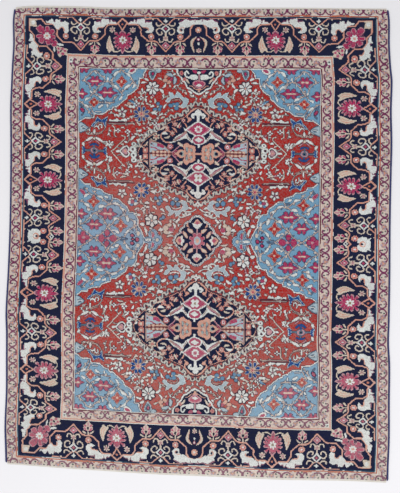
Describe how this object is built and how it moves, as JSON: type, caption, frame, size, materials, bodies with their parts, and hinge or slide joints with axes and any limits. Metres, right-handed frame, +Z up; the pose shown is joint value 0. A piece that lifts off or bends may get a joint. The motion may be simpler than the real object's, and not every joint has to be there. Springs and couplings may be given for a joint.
{
  "type": "persian rug",
  "caption": "Flat hand-knotted wool rug with two joined navy medallions on a red field, pale blue corners and side panels, a navy flower border and overcast side cords.",
  "frame": {"origin": "centre of the bounding box at the underside, on the surface that the rug lies on", "axes": "+X across the rug to its right side, +Y along it to its head, +Z up out of the pile"},
  "size_m": [1.484, 1.8102, 0.007],
  "materials": {
    "wool_pile": "clipped hand-knotted wool pile, matt with a soft sheen",
    "overcast_wool": "navy wool yarn wound side by side, matt"
  },
  "bodies": {
    "root": {"rug_body": "wool_pile", "side_cord_left": "overcast_wool", "side_cord_right": "overcast_wool"}
  },
  "joints": []
}
